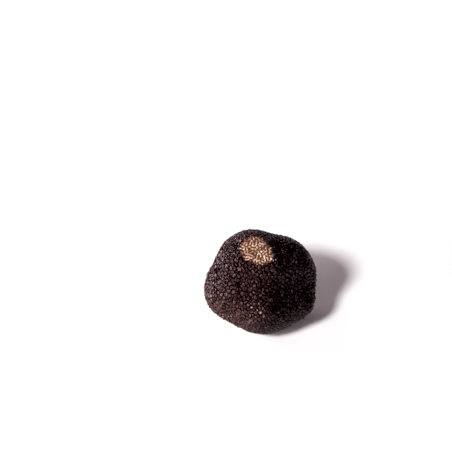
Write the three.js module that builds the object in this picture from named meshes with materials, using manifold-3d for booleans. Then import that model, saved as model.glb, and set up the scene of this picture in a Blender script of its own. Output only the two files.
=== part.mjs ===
// A fresh black truffle, pared flat at one spot near its top.
//
// It is one solid lump. Round swellings run into one another, shallow grooves lie between them,
// a knife has taken a thin slice off the crown, and a small flat foot keeps it from rolling.
// Millimetres, +Z up. The origin is at floor level, under the middle of the lump.
import * as THREE from "three";
import { mergeVertices } from "three/addons/utils/BufferGeometryUtils.js";
import Module from "manifold-3d";

// Driving dimensions, in millimetres.
const BLEND = 2.5; // how widely one swelling runs into the next
const HEART = new THREE.Vector3(0, 0, 18.5); // every part of the skin can be seen from here
const REACH = 40; // farther from the heart than any skin
const BLOCK = 90; // side of the blocks that stand for the knife and the floor
const DETAIL = 14; // times that each edge of the first icosahedron is divided
const HALVINGS = 24; // steps in the search for the skin along one line

// The swellings: where each is centred, and its radius.
const SWELLINGS = [
  { name: "core", centre: [-0.6, 0.4, 18], radius: 15.6 },
  { name: "crown", centre: [-2.8, 4.4, 27.2], radius: 12.5 },
  { name: "brow", centre: [4.5, -0.7, 30.3], radius: 4.2 },
  { name: "left", centre: [-11, -2.4, 17.2], radius: 11.6 },
  { name: "shoulder", centre: [-8.3, 3.8, 25.2], radius: 9.6 },
  { name: "high right", centre: [11.3, 3.1, 28.8], radius: 6.1 },
  { name: "right rear", centre: [8.6, 10, 22.6], radius: 9.6 },
  { name: "right", centre: [12.6, 2, 21.7], radius: 9.2 },
  { name: "right front", centre: [13.4, -4.5, 15.9], radius: 8.9 },
  { name: "front", centre: [2.2, -9.5, 15.9], radius: 11 },
  { name: "foot", centre: [-0.3, -0.4, 12.9], radius: 13.4 },
  { name: "left rear", centre: [-8.9, 9.9, 15], radius: 9.4 },
  { name: "rear", centre: [2.6, 13.9, 13.7], radius: 8.9 },
];

// The grooves: the line that each round-ended trough follows above the skin, its radius, and how
// softly its edges turn over.
const GROOVES = [
  { name: "front dimple", from: [-6.4, -13.4, 34.1], to: [-5.2, -16.9, 27.3], radius: 3.8, edge: 1.5 },
  { name: "front hollow", from: [4.3, -17.9, 30.3], to: [10, -16.7, 28.3], radius: 5, edge: 2 },
  { name: "side valley", from: [13.4, -14.2, 28.6], to: [23.4, -6, 22.5], radius: 4.5, edge: 2 },
  { name: "crown groove", from: [4.8, 10.9, 41.4], to: [11.1, -0.9, 38.5], radius: 4, edge: 1.7 },
  { name: "left notch", from: [-15.2, -17.5, 11.2], to: [-12.9, -19.6, 15], radius: 3.1, edge: 1.7 },
  { name: "rear groove", from: [-5, 23.5, 27], to: [-3, 24.5, 12], radius: 4.5, edge: 1.8 },
  { name: "rear dimple", from: [14.8, 20.8, 18], to: [19.5, 17, 14], radius: 5, edge: 2.2 },
  { name: "left dimple", from: [-20, 13.6, 22], to: [-22, 9.6, 26], radius: 4.2, edge: 2.2 },
];

// The pared spot: a point on the cut, and the way that the cut faces.
const PARED_POINT = new THREE.Vector3(-0.9, -1.6, 37.57);
const PARED_FACING = new THREE.Vector3(0.02, -0.41, 0.91).normalize();

const wasm = await Module();
wasm.setup();

const UP = new THREE.Vector3(0, 0, 1);
const swellings = SWELLINGS.map(({ centre, radius }) => ({
  centre: new THREE.Vector3(...centre),
  radius,
}));
const grooves = GROOVES.map(({ from, to, radius, edge }) => ({
  line: new THREE.Line3(new THREE.Vector3(...from), new THREE.Vector3(...to)),
  radius,
  edge,
}));

// The least of several distances, with the corner where two are equal rounded off.
function softLeast(distances, softness) {
  const least = Math.min(...distances);
  const sum = distances.reduce((total, d) => total + Math.exp((least - d) / softness), 0);
  return least - softness * Math.log(sum);
}

// How far a point is outside the uncut lump. It is negative inside.
function outside(point) {
  const toSwellings = swellings.map(({ centre, radius }) => point.distanceTo(centre) - radius);
  const nearest = new THREE.Vector3();
  let distance = softLeast(toSwellings, BLEND);
  for (const { line, radius, edge } of grooves) {
    line.closestPointToPoint(point, true, nearest);
    const depthInGroove = radius - point.distanceTo(nearest);
    distance = -softLeast([-distance, -depthInGroove], edge);
  }
  return distance;
}

// The point where a line from the heart leaves the lump.
function skinAlong(direction) {
  const point = new THREE.Vector3();
  let within = 0;
  let beyond = REACH;
  for (let step = 0; step < HALVINGS; step += 1) {
    const middle = (within + beyond) / 2;
    point.copy(HEART).addScaledVector(direction, middle);
    if (outside(point) < 0) {
      within = middle;
    } else {
      beyond = middle;
    }
  }
  return point;
}

// A three.js geometry as a closed solid, with only its positions kept.
function solidOf(geometry) {
  const bare = geometry.clone();
  bare.deleteAttribute("normal");
  bare.deleteAttribute("uv");
  const merged = mergeVertices(bare);
  return new wasm.Manifold(
    new wasm.Mesh({
      numProp: 3,
      vertProperties: merged.attributes.position.array,
      triVerts: new Uint32Array(merged.index.array),
    }),
  );
}

// A closed solid as a three.js geometry with one flat normal for each face.
function geometryOf(solid) {
  const mesh = solid.getMesh();
  const geometry = new THREE.BufferGeometry();
  geometry.setAttribute("position", new THREE.BufferAttribute(mesh.vertProperties, mesh.numProp));
  geometry.setIndex(new THREE.BufferAttribute(mesh.triVerts, 1));
  const flat = geometry.toNonIndexed();
  flat.computeVertexNormals();
  return flat;
}

// The whole lump as it came out of the ground: an even net of points, each moved out to the skin.
function uncutLump() {
  const net = new THREE.IcosahedronGeometry(1, DETAIL);
  const direction = new THREE.Vector3();
  const positions = net.attributes.position;
  for (let i = 0; i < positions.count; i += 1) {
    direction.fromBufferAttribute(positions, i).normalize();
    positions.setXYZ(i, ...skinAlong(direction));
  }
  return solidOf(net);
}

// A block that takes away everything past a flat cut through a point.
function blockBeyond(point, facing) {
  const block = new THREE.BoxGeometry(BLOCK, BLOCK, BLOCK);
  block.translate(0, 0, BLOCK / 2);
  block.applyQuaternion(new THREE.Quaternion().setFromUnitVectors(UP, facing));
  block.translate(point.x, point.y, point.z);
  return solidOf(block);
}

const knife = blockBeyond(PARED_POINT, PARED_FACING);
const floor = blockBeyond(new THREE.Vector3(), UP.clone().negate());
const lump = geometryOf(uncutLump().subtract(knife).subtract(floor));

// The middle of the lump is set over the origin.
lump.computeBoundingBox();
const middle = lump.boundingBox.getCenter(new THREE.Vector3());
lump.translate(-middle.x, -middle.y, 0);

const truffle = new THREE.Mesh(
  lump,
  new THREE.MeshStandardMaterial({ color: 0x3b3130, roughness: 0.7, metalness: 0 }),
);
truffle.name = "truffle";

const root = new THREE.Group();
root.add(truffle);
export default root;
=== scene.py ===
import bisect
import math
import random

import bmesh
import bpy
import numpy as np
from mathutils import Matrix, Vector, noise
from mathutils.bvhtree import BVHTree
from mathutils.kdtree import KDTree


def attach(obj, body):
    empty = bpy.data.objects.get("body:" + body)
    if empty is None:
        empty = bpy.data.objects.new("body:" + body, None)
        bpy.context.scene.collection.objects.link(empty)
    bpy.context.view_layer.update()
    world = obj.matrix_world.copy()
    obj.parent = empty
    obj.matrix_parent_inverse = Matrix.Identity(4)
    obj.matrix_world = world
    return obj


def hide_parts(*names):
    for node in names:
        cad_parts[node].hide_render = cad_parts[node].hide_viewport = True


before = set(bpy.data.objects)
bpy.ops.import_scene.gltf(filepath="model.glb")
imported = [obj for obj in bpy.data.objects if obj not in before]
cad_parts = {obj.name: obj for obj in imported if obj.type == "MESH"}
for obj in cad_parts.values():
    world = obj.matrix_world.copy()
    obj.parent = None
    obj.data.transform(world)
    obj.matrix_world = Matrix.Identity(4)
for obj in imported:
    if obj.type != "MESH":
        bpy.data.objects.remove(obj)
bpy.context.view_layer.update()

# ---------------------------------------------------------------------------------------------
# Camera
# A long lens about half a metre off, looking down on the truffle as someone at a table would.
# It is aimed past the truffle, up and to the left, so the truffle shows low and to the right.
# ---------------------------------------------------------------------------------------------
MM = 0.001  # lengths are in metres, apart from the lens's and the sensor's
PICTURE_SIDE = 452  # pixels
TRUFFLE_PIXEL = (260.2, 281.0)  # where the truffle's middle shows in the picture
TRUFFLE_MIDDLE = Vector((-0.47 * MM, -1.0 * MM, 20.0 * MM))
LOOK_DOWN = math.radians(40)
CAMERA_DISTANCE = 0.515
NEAREST_SEEN = 0.01
LENS = 100.0  # millimetres
SENSOR = 36.0  # millimetres

metres_per_pixel = CAMERA_DISTANCE * SENSOR / LENS / PICTURE_SIDE
camera_right = Vector((1, 0, 0))
camera_back = Vector((0, -math.cos(LOOK_DOWN), math.sin(LOOK_DOWN)))
camera_up = camera_back.cross(camera_right)
aim = (
    TRUFFLE_MIDDLE
    - camera_right * (TRUFFLE_PIXEL[0] - PICTURE_SIDE / 2) * metres_per_pixel
    + camera_up * (TRUFFLE_PIXEL[1] - PICTURE_SIDE / 2) * metres_per_pixel
)
camera_data = bpy.data.cameras.new("camera")
camera_data.lens = LENS
camera_data.sensor_width = SENSOR
camera_data.clip_start = NEAREST_SEEN
camera = bpy.data.objects.new("camera", camera_data)
camera.location = TRUFFLE_MIDDLE + camera_back * CAMERA_DISTANCE
camera.rotation_euler = (aim - camera.location).to_track_quat("-Z", "Y").to_euler()
bpy.context.scene.collection.objects.link(camera)
bpy.context.scene.camera = camera

# ---------------------------------------------------------------------------------------------
# Truffle: the lump
# The real thing is one fruit body that swelled underground against soil and stones. Its shape
# is the frame's. A knife pared it flat at one spot near the top, and it rests on a small foot.
# ---------------------------------------------------------------------------------------------
PARED_FACING = Vector((0.02, -0.41, 0.91)).normalized()  # the way that the cut faces
HEART = Vector((0, 0, 18 * MM))  # every part of the skin can be seen from here
CROWN_RISE = 0.75  # how steeply the crown rose past the edge of the cut before it was pared
FLAT = 0.9999  # a face whose direction agrees with the cut's by more than this lies in the cut
SAME_POINT = 0.001 * MM  # points nearer than this to each other are one point

lump = bmesh.new()
lump.from_mesh(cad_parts["truffle"].data)
bmesh.ops.remove_doubles(lump, verts=lump.verts, dist=SAME_POINT)
lump.normal_update()
lump.faces.ensure_lookup_table()
pared_level = max(v.co.dot(PARED_FACING) for v in lump.verts)
pared_faces = {f.index for f in lump.faces if f.normal.dot(PARED_FACING) > FLAT}
lump_faces = [([v.co.copy() for v in f.verts], f.calc_area()) for f in lump.faces]
whole_tree = BVHTree.FromBMesh(lump)
bmesh.ops.delete(lump, geom=[lump.faces[i] for i in pared_faces], context="FACES")
skin_tree = BVHTree.FromBMesh(lump)
lump.free()


def skin_towards(direction):
    """Where a line from the heart leaves the lump as it was before the knife took the crown."""
    point, _, face, _ = whole_tree.ray_cast(HEART, direction)
    if face in pared_faces:
        from_edge = skin_tree.find_nearest(point)[3]
        point = point + PARED_FACING * from_edge * CROWN_RISE
    return point


# ---------------------------------------------------------------------------------------------
# Truffle: the warts
# The skin is covered with many-sided warts, packed so close that only narrow cracks show between
# them. No two are alike. They are longer downhill than across, most of all below the cut.
# ---------------------------------------------------------------------------------------------
WART_GAP = 1.22 * MM  # least distance between the middles of two middling warts
SIZE_VARIES = 0.28  # how much smaller or larger than middling a wart may be
WART_DRAWS = 30000  # places tried, most of which are too near a wart that is already there
WART_SEED = 7
SETTLINGS = 1  # how many times the warts' middles are evened out
SETTLING = 0.3  # how far a middle then moves towards the middle of those round it, as a share
DOWNHILL = Vector((0.0, -0.6, -0.8))
LONGER = 1.9  # how much longer downhill than across a common wart is
RIBS_LONGER = 2.6  # the same, where the warts run together as ribs below the cut
RIBS_AT = Vector((1 * MM, -14 * MM, 27 * MM))
RIBS_REACH = 13 * MM
RIBS_FADE = 0.5  # the outer share of that reach, where the ribs give way to common warts

dice = random.Random(WART_SEED)


def longer(point):
    """How much longer downhill than across the warts are here."""
    nearness = 1 - (point - RIBS_AT).length / RIBS_REACH
    return LONGER + (RIBS_LONGER - LONGER) * min(1.0, max(0.0, nearness / RIBS_FADE))


area_so_far = list(np.cumsum([area for _, area in lump_faces]))
middles = np.zeros((WART_DRAWS, 3))
sizes = np.zeros(WART_DRAWS)
found = 0
for _ in range(WART_DRAWS):
    triangle, _ = lump_faces[bisect.bisect(area_so_far, dice.random() * area_so_far[-1])]
    a, b = sorted((dice.random(), dice.random()))
    flat_point = triangle[0] * a + triangle[1] * (b - a) + triangle[2] * (1 - b)
    point = skin_towards((flat_point - HEART).normalized())
    stretch = longer(point)
    size = WART_GAP * dice.uniform(1 - SIZE_VARIES, 1 + SIZE_VARIES) / math.sqrt(stretch)
    away = middles[:found] - np.array(point)
    downhill = away @ np.array(DOWNHILL)
    squares = (away**2).sum(axis=1) - (1 - 1 / stretch**2) * downhill**2
    if np.all(squares > ((size + sizes[:found]) / 2) ** 2):
        middles[found] = point
        sizes[found] = size
        found += 1

# The middles become the points of a net round the lump. Its points are evened out a little.
directions = [(Vector(middle) - HEART).normalized() for middle in middles[:found]]
for settling in range(SETTLINGS + 1):
    skin = bmesh.new()
    reach = skin.verts.layers.float.new("reach")  # 1 at a wart's middle, 0 in the cracks
    for direction in directions:
        skin.verts.new(direction)[reach] = 1.0
    bmesh.ops.convex_hull(skin, input=skin.verts)
    if settling < SETTLINGS:
        for wart in skin.verts:
            wart.co = skin_towards(wart.co)
        axes = {"use_axis_x": True, "use_axis_y": True, "use_axis_z": True}
        bmesh.ops.smooth_vert(skin, verts=skin.verts, factor=SETTLING, **axes)
        directions = [(wart.co - HEART).normalized() for wart in skin.verts]
        skin.free()
on_side = skin.verts.layers.float.new("on_side")  # 1 in the crack between two warts
outward = skin.verts.layers.float_vector.new("outward")  # the way that the skin faces
height = skin.verts.layers.float.new("wart_height")  # 0 in a crack, 1 at a wart's middle
tone = skin.verts.layers.float.new("wart_tone")  # from 0 to 1, one value for each wart
wear_and_glint = skin.verts.layers.float.new("wart_wear_and_glint")  # how far its tip is worn and painted with a glint, one value too

# A new point in the middle of each of the net's triangles, and its sides turned to join those,
# gives every wart its own ring of corners. The sides between the corners are then halved.
net_sides = skin.edges[:]
for corner in bmesh.ops.poke(skin, faces=skin.faces)["verts"]:
    corner[reach] = 0.0
bmesh.ops.rotate_edges(skin, edges=net_sides)
sides = [e for e in skin.edges if e.verts[0][reach] == e.verts[1][reach] == 0.0]
halved = bmesh.ops.subdivide_edges(skin, edges=sides, cuts=1, use_single_edge=True)
for v in halved["geom_inner"]:
    v[on_side] = 1.0

SIDE_STRAYS = 0.1  # how far the middle of a side may stray, as a share of the side


def neighbours(v, at_reach):
    """The points joined to this one that have this reach."""
    joined = [e.other_vert(v) for e in v.link_edges]
    return [o for o in joined if o[reach] == at_reach]


def skin_at_middle(points, stray):
    """The place on the skin over the middle of some points, moved by the stray."""
    middle = sum((v.co for v in points), Vector()) / len(points)
    return skin_towards((middle + stray - HEART).normalized())


for wart in [v for v in skin.verts if v[reach] == 1.0]:
    wart.co = skin_towards(wart.co)
for corner in [v for v in skin.verts if v[reach] == v[on_side] == 0.0]:
    corner.co = skin_at_middle(neighbours(corner, 1.0), Vector())
for side_middle in [v for v in skin.verts if v[on_side] == 1.0]:
    ends = neighbours(side_middle, 0.0)
    strays = SIDE_STRAYS * (ends[0].co - ends[1].co).length
    side_middle.co = skin_at_middle(ends, Vector([dice.gauss(0, strays) for _ in range(3)]))
skin.normal_update()
for v in skin.verts:
    v[outward] = v.normal

# Spokes run from a wart's middle to its crack. Each gets two points between its ends: one on the
# edge of the wart's flat top, and one on the shoulder, past which the side drops into the crack.
spokes = [e for e in skin.edges if e.verts[0][reach] != e.verts[1][reach]]
bmesh.ops.subdivide_edges(skin, edges=spokes, cuts=2)

CRACK_DEPTH = 0.45 * MM  # below the skin, where three warts meet
CRACK_VARIES = 0.35  # the share by which it is shallower or deeper
SIDE_CRACK = 0.8  # how deep a crack is between two warts, against where three meet
JOINED_SHARE = 0.08  # of the sides have hardly any crack
JOINED_CRACK = 0.25  # how deep theirs is, against where three meet
TOP_AT = 0.58  # where the edge of a top is, from 0 at the wart's middle to 1 at its crack
TOP_VARIES = 0.2  # the share by which it is nearer or farther, from wart to wart
SHOULDER_AT = 0.84  # where the shoulder is, by the same measure
SHOULDER_WIDEST = 1.05  # the most by which an uneven outline may multiply that
OUTLINE_VARIES = 0.07  # the share by which an outline goes in or out, from spoke to spoke
ROUNDING = 0.08  # how much rounder than its crack a wart is, from 0 to 1
TOP_HEIGHT = 0.12 * MM  # of the edge of a middling wart's top, above its shoulder
MIDDLING_HALF_WIDTH = 0.62 * WART_GAP
TALLEST = 1.3  # how high the top of a wide wart may be, against a middling one's
HEIGHT_VARIES = 0.045 * MM  # of whole warts
TILT_VARIES = 0.23  # of whole warts, as a slope
LEAN = 0.1  # how far a wart's top may sit off its middle, as a share of its width
ROUGHNESS = 0.045 * MM  # how uneven the top and the shoulder of each wart are
DENT = 0.05 * MM  # how far the middle of a wart is sunk below its top, on average
DENT_VARIES = 0.05 * MM
TOP_LEVEL = 0.95  # what wart_height says at the edge of a top
SHOULDER_LEVEL = 0.7  # and on a shoulder
CRACK_TONE = 0.5  # what wart_tone says in a crack
SWELL = 0.2 * MM  # slow rises and falls that carry many warts
SWELL_WIDTH = 4.5 * MM
WEAR_AND_GLINT_PLACES = (  # where tips are worn and painted with glints, how far round there, and the share of them that are
    (Vector((-6 * MM, 2 * MM, 38 * MM)), 5 * MM, 0.1),
    (Vector((-19 * MM, -5 * MM, 21 * MM)), 6 * MM, 0.1),
    (Vector((-2 * MM, -19 * MM, 18 * MM)), 8 * MM, 0.05),
    (Vector((-12 * MM, -15 * MM, 10 * MM)), 7 * MM, 0.1),
)
RUBBED_WEAR_AND_GLINT = 0.55  # how worn and glinting the tips there are, with 1 for a tip that is quite pale
NICKED = Vector((5.5 * MM, -6 * MM, 35.5 * MM))  # the knife only nicked the wart that is here
NICK_REACH = 0.9 * MM
NICKED_WEAR_AND_GLINT = 3.0  # more than 1, so that the pale spot, partly wear and partly a painted glint, takes up most of its top
EDGE_CLEAR = 0.02 * MM  # how far the skin keeps from the cut's plane, on either side


def swell_at(point):
    """How far the slow rises and falls lift the skin here."""
    return noise.noise(point / SWELL_WIDTH) * SWELL


def spoke_points(wart, edge):
    """The points along one of a wart's spokes: its top's edge, its shoulder and its crack."""
    points = [edge.other_vert(wart)]
    while points[-1][reach] > 0:
        further = [e.other_vert(points[-1]) for e in points[-1].link_edges]
        points.append(min(further, key=lambda v: v[reach]))
    return points


places = {}  # for each point, where it is on the skin and how far it moves from there
for v in [v for v in skin.verts if v[reach] == 0.0]:
    depth = CRACK_DEPTH * dice.uniform(1 - CRACK_VARIES, 1 + CRACK_VARIES)
    if v[on_side] == 1.0:
        depth *= JOINED_CRACK if dice.random() < JOINED_SHARE else SIDE_CRACK
    places[v] = (v.co.copy(), v[outward] * (swell_at(v.co) - depth))
    v[tone] = CRACK_TONE
for wart in [v for v in skin.verts if v[reach] == 1.0]:
    spokes = [spoke_points(wart, e) for e in wart.link_edges]
    half_width = sum((spoke[-1].co - wart.co).length for spoke in spokes) / len(spokes)
    up = wart[outward].normalized()
    rise = swell_at(wart.co) + dice.gauss(0, HEIGHT_VARIES)
    tilt = Vector([dice.gauss(0, TILT_VARIES) for _ in range(3)])
    lean = Vector([dice.uniform(-LEAN, LEAN) * half_width * 2 for _ in range(3)])
    lean -= up * lean.dot(up)
    tallness = min(TALLEST, half_width / MIDDLING_HALF_WIDTH)
    top_at = TOP_AT * dice.uniform(1 - TOP_VARIES, 1 + TOP_VARIES)
    wart_tone = dice.random()
    luck = dice.random()
    rubbed_and_glinting = any((wart.co - at).length < far and luck < share for at, far, share in WEAR_AND_GLINT_PLACES)
    wart_wear_and_glint = NICKED_WEAR_AND_GLINT if (wart.co - NICKED).length < NICK_REACH else RUBBED_WEAR_AND_GLINT * rubbed_and_glinting
    for top, shoulder, end in spokes:
        arm = end.co - wart.co
        outline = (half_width / arm.length) ** ROUNDING
        outline *= dice.uniform(1 - OUTLINE_VARIES, 1 + OUTLINE_VARIES)
        top_lift = TOP_HEIGHT * tallness + dice.gauss(0, ROUGHNESS)
        shoulder_lift = dice.gauss(0, ROUGHNESS)
        shoulder_at = SHOULDER_AT * min(outline, SHOULDER_WIDEST)
        for v, share, lift, level in (
            (top, top_at * outline, top_lift, TOP_LEVEL),
            (shoulder, shoulder_at, shoulder_lift, SHOULDER_LEVEL),
        ):
            side = arm * share
            v_up = up.lerp(end[outward], share).normalized()
            lift += rise + tilt.dot(side)
            places[v] = (wart.co + side, lean * (1 - share) + v_up * lift)
            v[height] = level
            v[tone] = wart_tone
            v[wear_and_glint] = wart_wear_and_glint
    peak = rise + TOP_HEIGHT * tallness - dice.gauss(DENT, DENT_VARIES)
    places[wart] = (wart.co.copy(), lean + up * peak)
    wart[height] = 1.0
    wart[tone] = wart_tone
    wart[wear_and_glint] = wart_wear_and_glint
for v, (on_skin, move) in places.items():
    v.co = on_skin + move
    # What grew above the cut stays above it and what grew below it stays below, so that the cut
    # has one edge.
    above_cut = v.co.dot(PARED_FACING) - pared_level
    if on_skin.dot(PARED_FACING) > pared_level:
        v.co += PARED_FACING * max(0.0, EDGE_CLEAR - above_cut)
    else:
        v.co -= PARED_FACING * max(0.0, above_cut + EDGE_CLEAR)
    # The warts that it rests on are pressed flat against whatever is below.
    v.co.z = max(v.co.z, 0.0)

# These layers have served, and no finish reads them.
for layers, name in (
    (skin.verts.layers.float, "reach"),
    (skin.verts.layers.float, "on_side"),
    (skin.verts.layers.float_vector, "outward"),
):
    layers.remove(layers[name])

# ---------------------------------------------------------------------------------------------
# Truffle: the pared spot
# One flat stroke of the knife shows the flesh: pale veins that wind through brown, like a maze.
# The cut is a fine net, so that the veins stand up from it a little.
# ---------------------------------------------------------------------------------------------
FLESH = 1  # the number of the flesh's finish in the mesh, after the skin's 0
NET_PITCH = 0.17 * MM  # from one line of the net to the next
ON_PLANE = SAME_POINT / 10  # a point nearer than this to a plane is taken to be on it
VEIN_PITCH = 1.2 * MM  # from one vein to the next
VEIN_RISE = 0.05 * MM  # how far a vein stands up from the brown beside it
MAZE_SIDE = 256  # points along each side of the sheet that the veins are taken from
MAZE_STEP = 0.1 * MM  # from one of its points to the next
MAZE_ROUNDS = 3  # how many times the ridges are drawn out and sharpened
MAZE_SEED = 5
MAZE_BAND = 0.4  # how far a ridge's pitch may be from the common one, as a share of that
MAZE_GAIN = 1.6  # how steeply a ridge drops on either side
RIND = 1.0 * MM  # how far in from the edge of the cut the flesh is still near the skin

across = PARED_FACING.cross(Vector((0, 1, 0))).normalized()
along = PARED_FACING.cross(across)
on_cut = PARED_FACING * pared_level
bmesh.ops.bisect_plane(
    skin,
    geom=skin.verts[:] + skin.edges[:] + skin.faces[:],
    plane_co=on_cut,
    plane_no=PARED_FACING,
    dist=ON_PLANE,
    clear_outer=True,
)
cut_rim = [e for e in skin.edges if e.is_boundary]
filled = bmesh.ops.triangle_fill(skin, edges=cut_rim, use_beauty=True, normal=PARED_FACING)
for e in cut_rim:
    e.smooth = False
for f in filled["geom"]:
    if isinstance(f, bmesh.types.BMFace):
        f.material_index = FLESH
        f.smooth = True
rim_points = [v.co.copy() for e in cut_rim for v in e.verts]
rim_tree = KDTree(len(rim_points))
for i, point in enumerate(rim_points):
    rim_tree.insert(point, i)
rim_tree.balance()
for facing in (across, along):
    low = min(p.dot(facing) for p in rim_points)
    high = max(p.dot(facing) for p in rim_points)
    flesh_faces = [f for f in skin.faces if f.material_index == FLESH]
    geom = list(dict.fromkeys(x for f in flesh_faces for x in (*f.verts, *f.edges, f)))
    for k in range(1, math.ceil((high - low) / NET_PITCH)):
        middle = on_cut + facing * (low + k * NET_PITCH - on_cut.dot(facing))
        cut = {"plane_co": middle, "plane_no": facing, "dist": ON_PLANE}
        geom = bmesh.ops.bisect_plane(skin, geom=geom, **cut)["geom"]


def maze(side, pitch, rounds, seed):
    """A winding maze of ridges on a square sheet, from -1 to 1. Pitch is in steps of the sheet."""
    frequency = np.fft.fftfreq(side) * pitch
    distance = np.sqrt(frequency[:, None] ** 2 + frequency[None, :] ** 2)
    keep = np.exp(-(((distance - 1) / MAZE_BAND) ** 2))
    sheet = np.random.RandomState(seed).normal(size=(side, side))
    for _ in range(rounds):
        sheet = np.real(np.fft.ifft2(np.fft.fft2(sheet) * keep))
        sheet = np.tanh(sheet / sheet.std() * MAZE_GAIN)
    return sheet


vein_sheet = maze(MAZE_SIDE, VEIN_PITCH / MAZE_STEP, MAZE_ROUNDS, MAZE_SEED)
vein = skin.verts.layers.float.new("vein")  # 0 in the brown, 1 along the middle of a vein
flesh_depth = skin.verts.layers.float.new("flesh_depth")  # 0 at the edge of the cut, 1 well in
rim = {v for e in skin.edges if len({f.material_index for f in e.link_faces}) == 2 for v in e.verts}
for v in {v for f in skin.faces if f.material_index == FLESH for v in f.verts}:
    column = v.co.dot(across) / MAZE_STEP % (MAZE_SIDE - 1)
    row = v.co.dot(along) / MAZE_STEP % (MAZE_SIDE - 1)
    i, j = int(column), int(row)
    u, w = column - i, row - j
    corners = vein_sheet[i : i + 2, j : j + 2]
    value = np.array((1 - u, u)) @ corners @ np.array((1 - w, w))
    v[vein] = 0.5 + 0.5 * value
    v[flesh_depth] = min(1.0, rim_tree.find(v.co)[2] / RIND)
    if v not in rim:
        v.co += PARED_FACING * VEIN_RISE * (v[vein] - 1)

truffle_mesh = bpy.data.meshes.new("truffle_body")
skin.to_mesh(truffle_mesh)
skin.free()
truffle = bpy.data.objects.new("truffle_body", truffle_mesh)
bpy.context.scene.collection.objects.link(truffle)


# ---------------------------------------------------------------------------------------------
# Truffle: the looks of the skin
# Hard dead tissue: nearly black and dull in the cracks, which is partly the skin's own dark and
# partly painted shade, and a little glossy on the warts. The warts are painted paler and redder
# on the left, where the lamps fall most, and greyer and darker on the right, as painted shade. Low
# on the left they are painted paler still, as light thrown up from the card, and rusty patches on
# the left, most of them low down, are partly a real tint and partly this painted light. Low on the
# right they are painted nearly black, as painted shade. The middle of some warts is pale, partly
# wear and partly painted glints.
# ---------------------------------------------------------------------------------------------
class Tone:
    """A value or colour inside a finish. Arithmetic on values adds Math nodes."""

    def __init__(self, finish, socket):
        self.finish = finish
        self.socket = socket

    def maths(self, operation, first, second):
        """What one operation makes of two values."""
        return self.finish.node("ShaderNodeMath", {"operation": operation}, {0: first, 1: second})

    def __add__(self, other):
        return self.maths("ADD", self, other)

    def __sub__(self, other):
        return self.maths("SUBTRACT", self, other)

    def __rsub__(self, other):
        return self.maths("SUBTRACT", other, self)

    def __mul__(self, other):
        return self.maths("MULTIPLY", self, other)

    def __rmul__(self, other):
        return self.maths("MULTIPLY", other, self)


class Finish:
    """A material with one Principled shader. Every node is added by its method node()."""

    def __init__(self, name):
        self.material = bpy.data.materials.new(name)
        self.material.use_nodes = True
        self.tree = self.material.node_tree
        self.shader = self.tree.nodes["Principled BSDF"]

    def node(self, kind, settings, sockets, out=0):
        """A new node's output. Its settings are set first, then its sockets' values or links."""
        made = self.tree.nodes.new(kind)
        for name, value in settings.items():
            setattr(made, name, value)
        self.connect(made, sockets)
        return Tone(self, made.outputs[out])

    def connect(self, made, sockets):
        """Sets a node's sockets: a Tone is linked, anything else is a constant."""
        for name, value in sockets.items():
            if isinstance(value, Tone):
                self.tree.links.new(value.socket, made.inputs[name])
            else:
                made.inputs[name].default_value = value

    def place(self):
        """The point on the piece, in metres."""
        return self.node("ShaderNodeTexCoord", {}, {}, "Object")

    def attribute(self, name):
        """A value that the mesh carries at each of its points."""
        return self.node("ShaderNodeAttribute", {"attribute_name": name}, {}, "Fac")

    def along(self, direction):
        """How far along one direction the point is, in metres."""
        sockets = {0: self.place(), 1: direction}
        return self.node("ShaderNodeVectorMath", {"operation": "DOT_PRODUCT"}, sockets, "Value")

    def noise(self, pitch, detail, roughness, seed=0.0):
        """Cloudy noise from 0 to 1, with clouds about `pitch` metres across."""
        sockets = {
            "Vector": self.place(),
            "W": seed,
            "Scale": 1 / pitch,
            "Detail": detail,
            "Roughness": roughness,
        }
        return self.node("ShaderNodeTexNoise", {"noise_dimensions": "4D"}, sockets)

    def between(self, value, low, high):
        """0 where the value is below low, 1 above high, and a smooth step from one to the other."""
        sockets = {"Value": value, "From Min": low, "From Max": high}
        return self.node("ShaderNodeMapRange", {"interpolation_type": "SMOOTHSTEP"}, sockets)

    def mix(self, share, colour, other):
        """One colour where share is 0, the other where it is 1."""
        return self.node("ShaderNodeMix", {"data_type": "RGBA"}, {0: share, 6: colour, 7: other}, 2)

    def bump(self, height, depth):
        """The surface's direction with a fine relief laid on it. Depth is in metres."""
        return self.node("ShaderNodeBump", {}, {"Height": height, "Distance": depth})


def linear(red, green, blue):
    """A screen colour, 0 to 255 each, as the linear colour that a shader takes."""
    parts = [c / 255 for c in (red, green, blue)]
    return [c / 12.92 if c <= 0.04045 else ((c + 0.055) / 1.055) ** 2.4 for c in parts] + [1.0]


# Nearly black: partly the skin's own dark in the cracks and partly painted shade, there and low on
# the right.
CRACK_AND_SHADE_BLACK = linear(6, 4, 5)
SHADED_SIDE_DARK = linear(7, 6, 8)  # the darkest and the palest warts on the right and at the back, painted greyer and darker as painted shade
SHADED_SIDE_PALE = linear(26, 25, 29)
LIT_SIDE_DARK = linear(13, 6, 6)  # the same on the left, painted paler and redder as painted light from the lamps there
LIT_SIDE_PALE = linear(45, 26, 25)
LOW_LEFT_LIT_PALE = linear(80, 47, 44)  # the palest low down on the left, painted light thrown up from the card
# Rusty brown, partly a real tint and partly painted light: it is paler than the tops beside it and
# shows only on the painted lit side.
RUST = linear(62, 33, 24)
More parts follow.
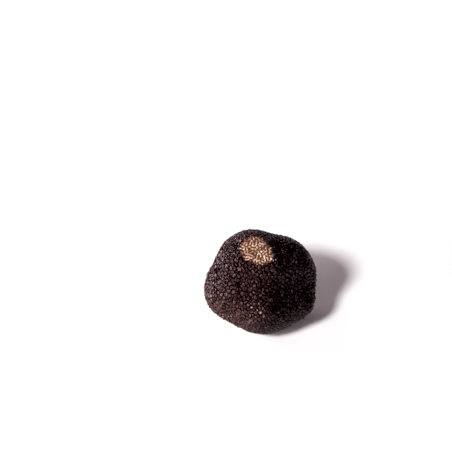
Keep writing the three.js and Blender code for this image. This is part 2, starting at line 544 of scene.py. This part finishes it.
# Pale: partly wear, partly a painted glint in the middle of a wart.
WORN_TIP_AND_GLINT = linear(205, 175, 160)
LEFT = (-1.0, 0.0, 0.0)
LOW_LEFT = (-0.5, -0.3, -0.8)
LOW_RIGHT = (0.6, -0.4, -0.7)
MOTTLE_PITCH = 0.25 * MM  # the mottling of single warts
PATCH_PITCH = 7 * MM  # the patches that many warts share
PATCH_REACH = 12 * MM  # how far a patch moves the line between the painted lit side and the painted shaded side
PATCH_RUST = 0.25  # how much rustier, and so paler, the patches are low down on the left, partly as painted light
RUST_SHARE = 0.6  # of rust in the palest warts of a rusty patch
WART_SHARE = 0.7  # how much of a top's paleness is the whole wart's
MOTTLE_SHARE = 0.5  # how much of it is the mottling's
DARKENING = 0.22  # how much less pale than those two make it every top is
LOW_RIGHT_SHADING = 0.7  # how much of the tops' colour is painted over with shade low on the right
CRACK_ROUGHNESS = 0.72
TOP_GLOSS = 0.36  # how much less rough the tops are than the cracks
SKIN_GRAIN = 0.18 * MM
SKIN_RELIEF = 0.05 * MM

hide = Finish("truffle_skin")
wart_height = hide.attribute("wart_height")
wart_top = hide.between(wart_height, low=0.45, high=TOP_LEVEL)
mottle = hide.noise(MOTTLE_PITCH, detail=3.0, roughness=0.6)
patch = hide.noise(PATCH_PITCH, detail=2.0, roughness=0.5, seed=3.0)
# Painted light and shade: the left, where the lamps fall most, is painted paler and redder, the
# right greyer and darker.
leftness = hide.along(LEFT) + (patch - 0.5) * PATCH_REACH
lit_side = hide.between(leftness, low=-13 * MM, high=2 * MM)
# Painted light: low on the left the warts are painted paler, as light thrown up from the card.
lower_left_lit = hide.between(hide.along(LOW_LEFT), low=-12 * MM, high=0.0)
rusty = hide.between(patch + PATCH_RUST * lower_left_lit, low=0.55, high=0.8) * lit_side
dark_top = hide.mix(lit_side, SHADED_SIDE_DARK, LIT_SIDE_DARK)
pale_top = hide.mix(lit_side, SHADED_SIDE_PALE, LIT_SIDE_PALE)
pale_top = hide.mix(lit_side * lower_left_lit, pale_top, LOW_LEFT_LIT_PALE)
pale_top = hide.mix(rusty * RUST_SHARE, pale_top, RUST)
paleness = hide.attribute("wart_tone") * WART_SHARE + mottle * MOTTLE_SHARE - DARKENING
top_colour = hide.mix(paleness, dark_top, pale_top)
# Painted shade: low on the right the tops are painted nearly black.
low_right_shade = hide.between(hide.along(LOW_RIGHT), low=-8 * MM, high=4 * MM)
top_colour = hide.mix(low_right_shade * LOW_RIGHT_SHADING, top_colour, CRACK_AND_SHADE_BLACK)
# Painted glints: the middle of some warts is painted pale, partly as wear.
wart_tip_glint = hide.between(wart_height, low=0.955, high=1.0)
top_colour = hide.mix(hide.attribute("wart_wear_and_glint") * wart_tip_glint, top_colour, WORN_TIP_AND_GLINT)
skin_grain = hide.noise(SKIN_GRAIN, detail=3.0, roughness=0.6, seed=1.0)
# The cracks are painted nearly black, partly the skin's own dark and partly painted shade.
hide.connect(
    hide.shader,
    {
        "Base Color": hide.mix(wart_top, CRACK_AND_SHADE_BLACK, top_colour),
        "Roughness": CRACK_ROUGHNESS - TOP_GLOSS * wart_top,
        "Specular IOR Level": 0.3,
        "Specular Tint": (1.0, 0.74, 0.76, 1.0),
        "Normal": hide.bump(skin_grain, SKIN_RELIEF),
    },
)
truffle_mesh.materials.append(hide.material)

# ---------------------------------------------------------------------------------------------
# Truffle: the looks of the flesh
# Firm and moist where it is pared: cream and tan veins, with brown and nearly black flesh
# between them, turning dark next to the skin.
# ---------------------------------------------------------------------------------------------
VEIN_TAN = linear(180, 137, 105)
VEIN_BROWN = linear(104, 60, 36)  # where a blotch dulls the veins
VEIN_CREAM = linear(240, 216, 200)  # where they are full of pale sap
GAP_BROWN = linear(84, 48, 28)  # between the veins
GAP_DARK = linear(24, 14, 13)  # in the dark grains there
NEAR_SKIN = linear(40, 24, 18)
BLOTCH_PITCH = 2.2 * MM
SAP_PITCH = 0.7 * MM
GRAIN_PITCH = 0.5 * MM
EDGE_PITCH = 0.9 * MM  # of the waves in the edge of the dark rind
BLOTCH_WIDENS = 0.9  # how much the blotches widen or narrow the veins
GRAIN_WIDENS = 0.5  # how much the grains do
SAP_SHARE = 0.85  # of cream where there is most sap
FLESH_GRAIN = 0.2 * MM
FLESH_RELIEF = 0.03 * MM

flesh = Finish("truffle_flesh")
blotch = flesh.noise(BLOTCH_PITCH, detail=2.0, roughness=0.5, seed=2.0)
grain = flesh.noise(GRAIN_PITCH, detail=2.0, roughness=0.6)
sap = flesh.noise(SAP_PITCH, detail=2.0, roughness=0.5, seed=8.0)
edge = flesh.noise(EDGE_PITCH, detail=2.0, roughness=0.6, seed=6.0)
veined = flesh.attribute("vein") + (blotch - 0.5) * BLOTCH_WIDENS + (grain - 0.5) * GRAIN_WIDENS
gap_colour = flesh.mix(flesh.between(grain, low=0.35, high=0.65), GAP_DARK, GAP_BROWN)
vein_colour = flesh.mix(flesh.between(blotch, low=0.42, high=0.6), VEIN_BROWN, VEIN_TAN)
cream = flesh.between(sap, low=0.48, high=0.68) * SAP_SHARE
vein_colour = flesh.mix(cream, vein_colour, VEIN_CREAM)
flesh_colour = flesh.mix(flesh.between(veined, low=0.43, high=0.66), gap_colour, vein_colour)
well_in = flesh.between(flesh.attribute("flesh_depth") + edge - 0.5, low=0.1, high=0.5)
flesh_grain = flesh.noise(FLESH_GRAIN, detail=3.0, roughness=0.6, seed=4.0)
flesh.connect(
    flesh.shader,
    {
        "Base Color": flesh.mix(well_in, NEAR_SKIN, flesh_colour),
        "Roughness": 0.5,
        "Subsurface Weight": 0.1,
        "Subsurface Radius": (0.6 * MM, 0.35 * MM, 0.2 * MM),
        "Subsurface Scale": 1.0,
        "Normal": flesh.bump(flesh_grain, FLESH_RELIEF),
    },
)
truffle_mesh.materials.append(flesh.material)
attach(truffle, "root")
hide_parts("truffle")

# ---------------------------------------------------------------------------------------------
# Table
# A plain sheet of matt white card, large enough to fill the picture from any side.
# ---------------------------------------------------------------------------------------------
TABLE_HALF_SIDE = 4.0
CARD_WHITE = (0.9, 0.9, 0.9, 1.0)

table_form = bmesh.new()
bmesh.ops.create_grid(table_form, x_segments=1, y_segments=1, size=TABLE_HALF_SIDE)
table_mesh = bpy.data.meshes.new("table_top")
table_form.to_mesh(table_mesh)
table_form.free()
table = bpy.data.objects.new("table_top", table_mesh)
bpy.context.scene.collection.objects.link(table)
card = Finish("table_card")
card.connect(
    card.shader,
    {"Base Color": CARD_WHITE, "Roughness": 0.9, "Specular IOR Level": 0.1},
)
table_mesh.materials.append(card.material)

# ---------------------------------------------------------------------------------------------
# Light
# Soft studio lamps, all well off. The main one is white, high in front of the truffle and to its
# left. Two rosy ones stand low to its left and a weaker one low behind it. The studio round them
# is nearly dark.
# ---------------------------------------------------------------------------------------------
STUDIO_STRENGTH = 0.13
STUDIO_COLOUR = (1.0, 0.76, 0.86, 1.0)
WHITE = (1.0, 1.0, 1.0)
ROSE = (1.0, 0.85, 0.88)
BLACK_LEVEL = 0.01  # anything darker comes out black, as in a print with strong contrast


def soft_lamp(name, around, above, spread, strength, colour):
    """A far lamp. Around and above say where it stands, and spread how wide it looks, in degrees."""
    around = math.radians(around)
    above = math.radians(above)
    out = Vector((math.cos(around), math.sin(around), 0)) * math.cos(above)
    lamp_data = bpy.data.lights.new(name, "SUN")
    lamp_data.angle = math.radians(spread)
    lamp_data.energy = strength
    lamp_data.color = colour
    lamp = bpy.data.objects.new(name, lamp_data)
    towards_lamp = out + Vector((0, 0, math.sin(above)))
    lamp.rotation_euler = towards_lamp.to_track_quat("Z", "Y").to_euler()
    bpy.context.scene.collection.objects.link(lamp)


soft_lamp("front_lamp", around=234, above=40, spread=11, strength=4.35, colour=WHITE)
soft_lamp("left_lamp", around=206, above=3, spread=22, strength=5.2, colour=ROSE)
soft_lamp("rear_lamp", around=152, above=3, spread=22, strength=5.2, colour=ROSE)
soft_lamp("far_lamp", around=95, above=6, spread=22, strength=0.9, colour=ROSE)

world = bpy.data.worlds.new("studio")
world.use_nodes = True
studio = world.node_tree.nodes["Background"]
studio.inputs["Color"].default_value = STUDIO_COLOUR
studio.inputs["Strength"].default_value = STUDIO_STRENGTH
bpy.context.scene.world = world
view = bpy.context.scene.view_settings
view.view_transform = "Standard"
view.use_curve_mapping = True
view.curve_mapping.black_level = (BLACK_LEVEL,) * 3
